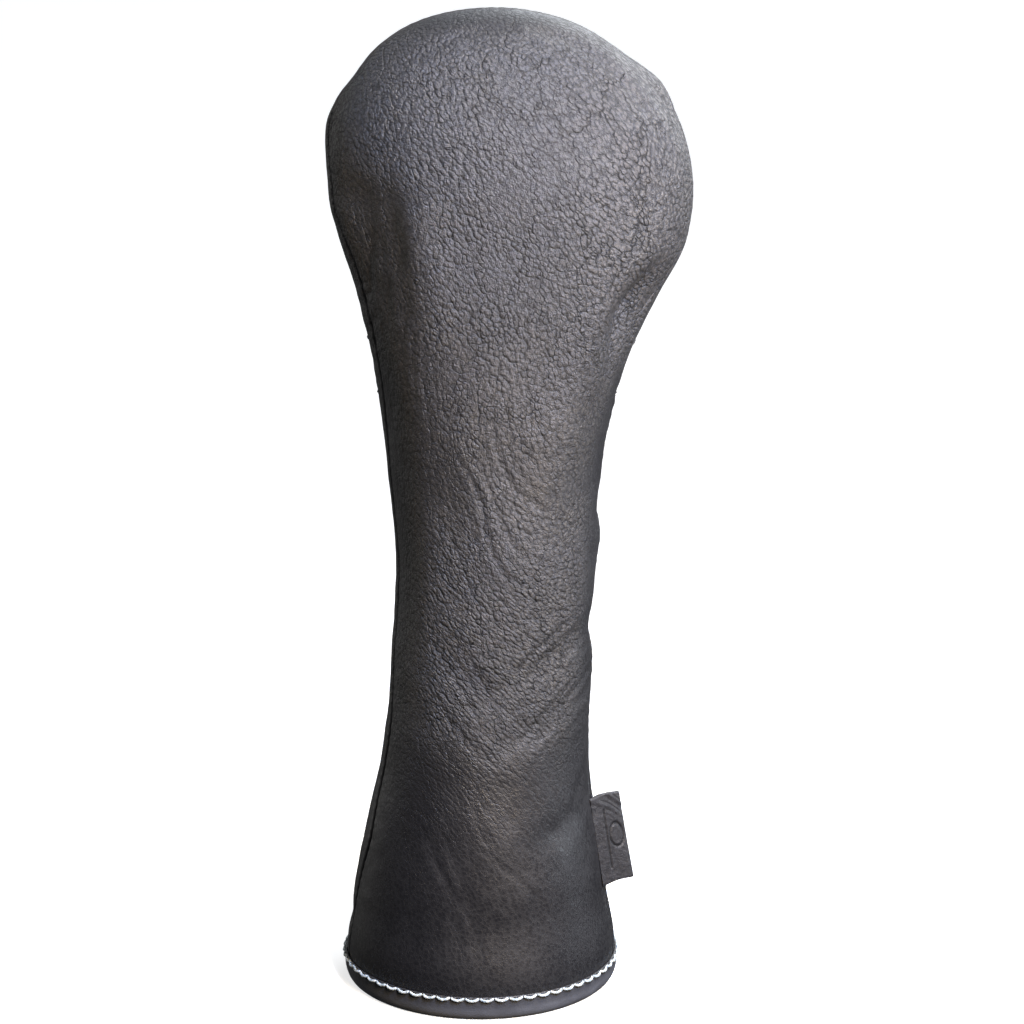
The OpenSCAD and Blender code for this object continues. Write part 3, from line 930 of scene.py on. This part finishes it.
def leather_panel(name, side, material):
    """One panel of leather, from the hem to the cover's top, with its grain painted on."""
    levels = rings(PANEL_LOW, CROWN_START, SPACING, crown_to=1.985)
    angle, level = panel_grid(side, levels, PANEL_COLUMNS, EDGE_STEPS)
    base = skin(angle, level)
    distance, run = from_seam(base)
    roll = seam_depth(distance, run)
    roll[:, [0, -1]] = SEAM_DEPTH
    normal = skin_normal(angle, level)
    out = relief(angle, level)
    outer = base + normal * (out - roll)[..., None]
    inner = base + normal * (out - roll - LEATHER)[..., None]
    top = skin(0.0, 2.0)
    pole = [top - (0, 0, SEAM_DEPTH), top - (0, 0, SEAM_DEPTH + LEATHER)]
    points, faces = shell(outer, inner, *pole)
    piece = mesh_piece(name + "_leather", points, faces, material)
    pebble, stretch = grain_strengths(base, angle, level)
    for attribute, values in (("pebble", pebble), ("stretch", stretch)):
        paint(piece, attribute, np.concatenate([values.ravel(), values.ravel(), [0, 0]]))
    flow = grain_flow(base).reshape(-1, 3)
    paint(piece, "grain", np.concatenate([flow, flow, grain_flow(np.array([top, top]))]))
    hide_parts(name)


# By height: how strong the pebbles are, how strong the strands, and how far the hide's flow leans
# to the left on its way up, in degrees. Where the pebbles reach 1 and more, the leather's colour
# also gets a painted warm highlight.
GRAIN = np.array([
    (0, 0.04, 0.08, 16),
    (60, 0.08, 0.16, 28),
    (95, 0.32, 0.4, 36),
    (125, 1.1, 0.5, 34),
    (160, 1.25, 0.35, 28),
    (200, 0.5, 0.5, 12),
    (240, 0.7, 0.3, 4),
    (270, 0.95, 0.15, 14),
    (330, 1.0, 0.05, 22),
    (368, 1.0, 0.05, 22),
])


def grain_strengths(points, angle, level):
    """How strong the pebbles and the strands are over a panel. Strands replace pebbles in the dent at
    the left of the head, and the pebbles are strongest on the right of the head and faint at the sides
    and over the top."""
    z = points[..., 2]
    pebble, stretch = (np.interp(z, GRAIN[:, 0], GRAIN[:, k]) for k in (1, 2))
    rim = ramp(level, 1.45, 1.85)
    left = np.exp(-(((points[..., 0] + 48) / 16) ** 2) - ((z - 272) / 26) ** 2)
    # Pebbles raised above 1 here also carry the painted warm highlight in the leather's colour.
    right = ramp(points[..., 0], 5, 45) * ramp(z, 170, 250)
    side = ramp(np.abs(np.cos(angle)), 0.70, 0.97) * (1 - ramp(z, 225, 265))
    pebble = pebble * (1 - 0.75 * rim) * (1 - 0.5 * left) * (1 + 0.4 * right) * (1 - 0.75 * side)
    return pebble, np.clip(stretch + 0.7 * left, 0, 1)


def grain_flow(points):
    """Coordinates, in metres, across the hide's flow, along it and through it."""
    step = 2.0
    height = np.arange(0, COVER_TOP + step, step)
    lean = np.interp(height, GRAIN[:, 0], GRAIN[:, 3])
    drift = np.concatenate([[0], np.cumsum(np.tan(np.radians(lean)))[:-1] * step])
    x, y, z = points[..., 0], points[..., 1], points[..., 2]
    return np.stack([x + np.interp(z, height, drift), z, y], axis=-1) * MM


# ---------------------------------------------------------------- hem

BINDING_TOP = cad_box("hem_binding")[1][2]
BINDING_PROUD = 1.05
BINDING_WALL = 5.0
BINDING_LEATHER = 1.0
BINDING_ROUND = 5.5
HEM_STITCHES = 60
STITCH_Z = BINDING_TOP - 0.7


def binding_profile():
    """The strip's outline as (outwards from the panel's face, height): over its top edge, down the
    outside, round the bottom, up the inside, over its other edge, and back along its hidden face."""
    half = BINDING_WALL / 2
    middle = BINDING_PROUD - half
    edge = BINDING_LEATHER / 2
    over = np.radians(np.arange(180, -1, -36))
    under = np.radians(np.arange(0, 181, 15))
    rim = [(edge * math.cos(a), BINDING_TOP - edge + edge * math.sin(a)) for a in over]
    outer_edge = [(BINDING_PROUD - edge + x, z) for x, z in rim]
    bottom = [(middle + half * math.cos(a), BINDING_ROUND * (1 - math.sin(a))) for a in under]
    inner_edge = [(middle - half + edge - x, z) for x, z in rim[::-1]]
    slim, low = half - BINDING_LEATHER, BINDING_ROUND - BINDING_LEATHER
    hidden = [(middle + slim * math.cos(a), BINDING_ROUND - low * math.sin(a)) for a in under[::-2]]
    return np.array(outer_edge + bottom + inner_edge + hidden)


def hem_binding(material):
    """The binding, which each hem stitch pulls in a little, with wear and a painted reflection at its
    foot.
    """
    profile = binding_profile()
    around = HEM_STITCHES * 8
    turned = np.tile(np.linspace(0, 2 * math.pi, around, endpoint=False), (len(profile), 1))
    outwards, heights = (np.repeat(profile[:, [k]], around, axis=1) for k in (0, 1))
    dip = 0.3 * np.exp(-((heights - STITCH_Z) / 1.1) ** 2) * np.cos(turned * HEM_STITCHES) ** 8
    outwards = outwards - dip * (outwards > 0)
    points = wall(turned, level_of(heights), -outwards, fine=False)
    points[..., 2] = heights
    faces = grid_quads(len(profile), around, closed=True)
    last = (len(profile) - 1) * around
    for i in range(around):
        j = (i + 1) % around
        faces.append((last + i, last + j, j, i))
    piece = mesh_piece("hem_binding_leather", points.reshape(-1, 3), faces, material)
    # 0 at the top and 1 low down: where the foot is smoother and gets its painted reflection.
    paint(piece, "wear_and_painted_sheen", (1 - ramp(heights, 2.5, STITCH_Z - 0.8)).ravel())
    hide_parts("hem_binding")


# ---------------------------------------------------------------- thread

def tube(path, radius, sides, plies=0, twist=0.0):
    """Points and faces of a thread along a path, with rounded ends, and with twisted plies if asked."""
    path = np.asarray(path, float)
    along = np.gradient(path, axis=0)
    along /= np.linalg.norm(along, axis=1, keepdims=True)
    up = np.array([0.31, 0.17, 0.93])
    side = np.cross(along, up)
    side /= np.linalg.norm(side, axis=1, keepdims=True)
    third = np.cross(along, side)
    run = run_along(path)
    turn = np.linspace(0, 2 * math.pi, sides, endpoint=False)
    end = np.minimum(1, (np.minimum(run, run[-1] - run) + 0.12 * radius) / radius)
    size = radius * np.sqrt(1 - (1 - end) ** 2)
    strands = 1 + 0.13 * np.cos(plies * (turn[None] - twist * run[:, None])) if plies else 1.0
    reach = size[:, None] * strands * np.ones((1, sides))
    points = (path[:, None] + side[:, None] * (reach * np.cos(turn))[..., None]
              + third[:, None] * (reach * np.sin(turn))[..., None]).reshape(-1, 3)
    faces = grid_quads(len(path), sides, closed=True, flip=True)
    faces.append(tuple(range(sides)))
    faces.append(tuple(range(len(points) - 1, len(points) - sides - 1, -1)))
    return points, faces


def thread_piece(name, paths, radius, material, sides=8, plies=0, twist=0.0):
    """All stitches of one CAD node as one piece."""
    points, faces, count = [], [], 0
    for path in paths:
        p, f = tube(path, radius, sides, plies, twist)
        points.append(p)
        faces += [tuple(i + count for i in face) for face in f]
        count += len(p)
    piece = mesh_piece(name + "_thread", np.concatenate(points), faces, material)
    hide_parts(name)


def hem_stitches(material):
    """Thick stitches that leave one hole, sag in an arc over the binding and enter the next hole."""
    radius, gap = 0.52, 0.05
    t = np.linspace(0, 1, 17)
    bow = np.sin(math.pi * t)
    height = STITCH_Z + 0.30 - 0.75 * bow**0.7
    out = BINDING_PROUD - 0.45 + 0.85 * bow**0.5
    paths = []
    for i in range(HEM_STITCHES):
        angle = (i + gap + (1 - 2 * gap) * t) * 2 * math.pi / HEM_STITCHES
        path = wall(angle, level_of(height), -out, fine=False)
        path[:, 2] = height
        paths.append(path)
    thread_piece("hem_stitches", paths, radius, material, 12, 3, 1.6)


def seam_paths(side, depth, pitch, low, behind_core=False):
    """Paths of short stitches in a side seam, from a height up to near the top of the crown. depth is
    how far in they lie from the leather's face, or from the core's back."""
    high = CROWN_START + CROWN_RUN * (SEAM_STITCHED_TO - 1)
    t = np.linspace(0, 1, 7)
    paths = []
    for start in np.arange(low, high, pitch):
        run = start + pitch * (0.06 + 0.86 * t)
        level = np.where(run < CROWN_START, level_of(run), 1 + (run - CROWN_START) / CROWN_RUN)
        core = core_depth(level) if behind_core else 0
        sink = depth + core + 0.35 * (1 - np.sin(math.pi * t))
        paths.append(wall(seam_angle(side, level), level, sink, fine=False))
    return paths


def seam_stitches(side, material):
    """Stitches down in the groove between the two panels."""
    paths = seam_paths(side, 0.75 * SEAM_DEPTH, SEAM_PITCH, BINDING_TOP + 2)
    thread_piece(side + "_seam_stitches", paths, SEAM_THREAD, material)


def lining_seam_stitches(material):
    """Stitches between the two halves of the lining."""
    behind, pitch, thread = 2.6, 6.0, 0.25
    paths = []
    for side in ("left", "right"):
        paths += seam_paths(side, LEATHER + behind, pitch, BINDING_TOP + 4, behind_core=True)
    thread_piece("lining_seam_stitches", paths, thread, material, 6)


def elastic_stitches(material):
    """Two rows of stitches across the back that hold the elastic."""
    pitch, from_seam_in = 3.2, 4.0
    t = np.linspace(0, 1, 7)
    paths = []
    for z in (ELASTIC_LOW + ELASTIC_EDGE_IN, ELASTIC_HIGH - ELASTIC_EDGE_IN):
        level = float(level_of(z))
        fine, along = across_panel("back", level, 400)
        for start in np.arange(from_seam_in, along[-1] - from_seam_in - pitch, pitch):
            angle = np.interp(start + pitch * (0.05 + 0.88 * t), along, fine)
            paths.append(wall(angle, level, 0.3 - 0.45 * np.sin(math.pi * t)))
    thread_piece("elastic_stitches", paths, SEAM_THREAD, material)


# ---------------------------------------------------------------- inner layers

FOAM_LOW = cad_box("front_head_foam")[0][2]
# Room behind the leather for the seams' turnings and the elastic, above these heights, and what the
# foam takes besides.
TURNING = 1.4
TURNING_LOW, TURNING_HIGH = 12, 34
FOAM_GROWS = 1.6
# How far the foam and the elastic stop short of the seams.
FOAM_MARGIN, ELASTIC_MARGIN = 7.0, 6.0
LAYER_GAP = 0.15
# How thick the fleece is where it starts under the binding, and all the way up.
FLEECE_AT_HEM = 1.3
FLEECE = 2.9


def core_depth(level):
    """How far behind the leather the lining starts."""
    z = CROWN_START * level
    turning = TURNING * ramp(z, TURNING_LOW, TURNING_HIGH)
    return turning + FOAM_GROWS * ramp(z, FOAM_LOW, FOAM_LOW + 14)


def lining(name, side, material):
    """One half of the fleece lining, with a lumpy pile."""
    levels = rings(PANEL_LOW, CROWN_START, 2.6, crown_to=1.97)
    angle, level = panel_grid(side, levels, 44, (0.45, 1.2, 2.4, 4.0))
    z, smooth = level * CROWN_START, skin(angle, level)
    outside = LEATHER + core_depth(level) + LAYER_GAP
    thick = FLEECE_AT_HEM + (FLEECE - FLEECE_AT_HEM) * ramp(z, TURNING_LOW, TURNING_HIGH)
    pile = 0.3 * field(smooth, 3.2, 9) + 0.25 * field(smooth, 7, 8)
    inside = outside + thick + pile * ramp(z, TURNING_LOW, 20)
    outer, inner = (wall(angle, level, depth, fine=False) for depth in (outside, inside))
    top, depth = skin(0.0, 2.0), LEATHER + TURNING + FOAM_GROWS + LAYER_GAP
    points, faces = shell(outer, inner, top - (0, 0, depth), top - (0, 0, depth + FLEECE))
    piece = mesh_piece(name + "_fleece", points, faces, material)
    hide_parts(name)


def head_foam(name, side, material):
    """One sheet of foam round half of the head."""
    levels = rings(FOAM_LOW, CROWN_START, 3.0, crown_to=1.84)
    angle, level = panel_grid(side, levels, 40, (0.0, 2.0), FOAM_MARGIN)
    outer = wall(angle, level, LEATHER + LAYER_GAP, fine=False)
    inner = wall(angle, level, LEATHER + core_depth(level), fine=False)
    points, faces = shell(outer, inner)
    piece = mesh_piece(name + "_sheet", points, faces, material)
    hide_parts(name)


def neck_elastic(material):
    """The band of ribbed elastic behind the back panel's neck."""
    levels = rings(ELASTIC_LOW, ELASTIC_HIGH, 1.2)
    angle, level = panel_grid("back", levels, 90, (0.0, 1.0), ELASTIC_MARGIN)
    rib_pitch = 2.4
    rib = 0.06 * np.sin(2 * math.pi * level * CROWN_START / rib_pitch)
    outer = wall(angle, level, LEATHER + 0.2 + rib, fine=False)
    inner = wall(angle, level, LEATHER + TURNING - 0.1 - rib, fine=False)
    points, faces = shell(outer, inner)
    piece = mesh_piece("neck_elastic_band", points, faces, material)
    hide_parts("neck_elastic")


# ---------------------------------------------------------------- tab

HINGE = frame["joints"][0]
TAB_LEAF = 0.9
TAB_GAP = 0.2
TAB_ROOT, TAB_OUT = -2.2, 11.5
TAB_HALF_TALL = 16.5
# How far the tab leans back from +X at rest.
TAB_REST = math.radians(30)
TAB_LEAF_ROWS = 48
# What is pressed into the tab: a plain oval ring, and an upright line near its root.
RING_OUT, RING_UP, RING_RADIUS, RING_HALF_WIDE, RING_NARROWER = 7.0, 1.2, 4.4, 0.62, 0.66
LINE_OUT, LINE_HALF_WIDE, LINE_HALF_TALL = 2.9, 0.42, 11.5


def tab_axes():
    """The tab's own frame: its flex line's middle, the way out, its back, and up the seam."""
    origin = np.array(HINGE["pos_m"]) / MM
    up = np.array(HINGE["axis"])
    up = up / np.linalg.norm(up)
    out = np.array([math.cos(TAB_REST), math.sin(TAB_REST), 0])
    out = out - (out @ up) * up
    out = out / np.linalg.norm(out)
    return origin, out, np.cross(up, out), up


def tab_press(out, tall):
    """How far the ring and the line are pressed in, from 0 to 1."""
    from_middle = np.hypot((out - RING_OUT) / RING_NARROWER, tall - RING_UP)
    ring = np.exp(-(((from_middle - RING_RADIUS) / RING_HALF_WIDE) ** 4))
    line = np.exp(-(((out - LINE_OUT) / LINE_HALF_WIDE) ** 4))
    return np.maximum(ring, line * ramp(LINE_HALF_TALL - np.abs(tall), 0, 0.5))


def tab_wrinkles(out, tall):
    """Wavy wrinkles that run out from the root, strong above and faint below."""
    strength = 0.10 + 0.90 * ramp(tall, 6, 11)
    spot = np.stack([out / 13, tall / 1.9 + 0.09 * out + 0.02 * out**2, np.full_like(out, 4.0)], -1)
    return 0.42 * strength * (0.5 - 1.8 * np.abs(field(spot, 1.0, 5)))


def folded_strip():
    """Middle line of the strip as (out, across), from its front end round the fold to its back end,
    and the way that its outside faces."""
    radius = (TAB_LEAF + TAB_GAP) / 2
    fold = TAB_OUT - radius - TAB_LEAF / 2
    leaf = np.linspace(TAB_ROOT, fold, TAB_LEAF_ROWS)
    bend = np.radians(np.linspace(-90, 90, 11))[1:-1]
    centre = np.concatenate([
        np.stack([leaf, np.full_like(leaf, -radius)], 1),
        np.stack([fold + radius * np.cos(bend), radius * np.sin(bend)], 1),
        np.stack([leaf[::-1], np.full_like(leaf, radius)], 1),
    ])
    along = np.gradient(centre, axis=0)
    along /= np.linalg.norm(along, axis=1, keepdims=True)
    return centre, np.stack([along[:, 1], -along[:, 0]], 1)


def side_tab(material):
    """A strip folded back on itself, its two ends sewn into the seam."""
    centre, normal = folded_strip()
    tall = np.linspace(-TAB_HALF_TALL, TAB_HALF_TALL, 120)
    out, high = np.meshgrid(centre[:, 0], tall, indexing="ij")
    pinch = ramp(out, TAB_ROOT, 2.5)
    sign = np.sign(centre[:, 1])[:, None]
    pressed = tab_press(out, high) * (np.arange(len(centre)) < TAB_LEAF_ROWS)[:, None]
    lean = 0.9 * np.sin(high / 14 + 0.6) * ramp(out, 1, 12) + 0.25 * np.sin(out / 2.2)
    taller = ramp(high, 0, TAB_HALF_TALL) * (2.4 - 0.09 * np.clip(out, 0, TAB_OUT))
    thick = TAB_LEAF * (0.45 + 0.55 * pinch)
    edge = 1 - ramp(TAB_HALF_TALL - np.abs(high), 0, 0.5)
    sheets = []
    for face in (0.5, -0.5):
        offset = face * thick - (0.42 * pressed if face > 0 else 0)
        x = out + normal[:, :1] * offset
        across = centre[:, 1:] * (0.5 + 0.5 * pinch) + normal[:, 1:] * offset
        across = across - sign * face * 0.25 * edge
        across = across + tab_wrinkles(out, high) + lean
        sheets.append(np.stack([x, across, high + taller + 0.35 * np.sin(out / 3.0)], -1))
    points, faces = shell(*sheets)
    origin, way_out, back, up = tab_axes()
    world = origin + points[:, :1] * way_out + points[:, 1:2] * back + points[:, 2:] * up
    piece = mesh_piece("side_tab_leather", world, [f[::-1] for f in faces], material, body=None)
    paint(piece, "pressed", np.concatenate([pressed.ravel(), np.zeros(pressed.size)]))
    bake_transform(piece)
    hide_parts("side_tab")


def tab_anchor(material):
    """The tab's thinned ends in the seam."""
    origin, _, _, up = tab_axes()
    slant = math.radians(10)
    inwards = np.array((-math.cos(slant), math.sin(slant), 0))
    sideways = np.cross(up, inwards)
    tall = np.linspace(-TAB_HALF_TALL + 1, TAB_HALF_TALL - 1, 60)
    deep = np.linspace(1.3, 3.6, 7)
    d, h = np.meshgrid(deep, tall, indexing="ij")
    middle = origin + inwards * d[..., None] + up * h[..., None]
    wave = 0.06 * np.sin(h * 1.5)
    sheets = [middle + sideways * (wave + half)[..., None] for half in (0.25, -0.25)]
    points, faces = shell(*sheets)
    piece = mesh_piece("tab_anchor_leather", points, faces, material)
    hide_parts("tab_anchor")


# ---------------------------------------------------------------- the scene

# Each thread: the colour of its dirt and of its fibres, its roughness and how high its fibres are.
THREADS = (
    ("white_thread", (0.30, 0.36, 0.38, 1), (0.66, 0.70, 0.69, 1), 0.6, 0.00006),
    ("black_thread", (0.008, 0.008, 0.009, 1), (0.03, 0.03, 0.032, 1), 0.55, 0.00003),
    ("lining_thread", (0.04, 0.04, 0.043, 1), (0.12, 0.12, 0.13, 1), 0.8, 0.00004),
)


def make_cover():
    """Every material and piece of the cover."""
    hide = panel_leather()
    binding = binding_leather()
    tab = tab_leather()
    white, black, grey = (thread_material(*row) for row in THREADS)
    pile = fleece()
    foam = foam_material()

    for side in ("front", "back"):
        leather_panel(side + "_panel", side, hide)
    hem_binding(binding)
    hem_stitches(white)
    elastic_stitches(black)
    for side in ("left", "right"):
        seam_stitches(side, black)
    lining_seam_stitches(grey)
    for side in ("front", "back"):
        lining(side + "_lining", side, pile)
        head_foam(side + "_head_foam", side, foam)
    neck_elastic(elastic_material())
    side_tab(tab)
    tab_anchor(tab)


make_camera()
make_lights()
make_world()
make_floor()
make_cover()
bpy.context.scene.view_settings.view_transform = "Standard"
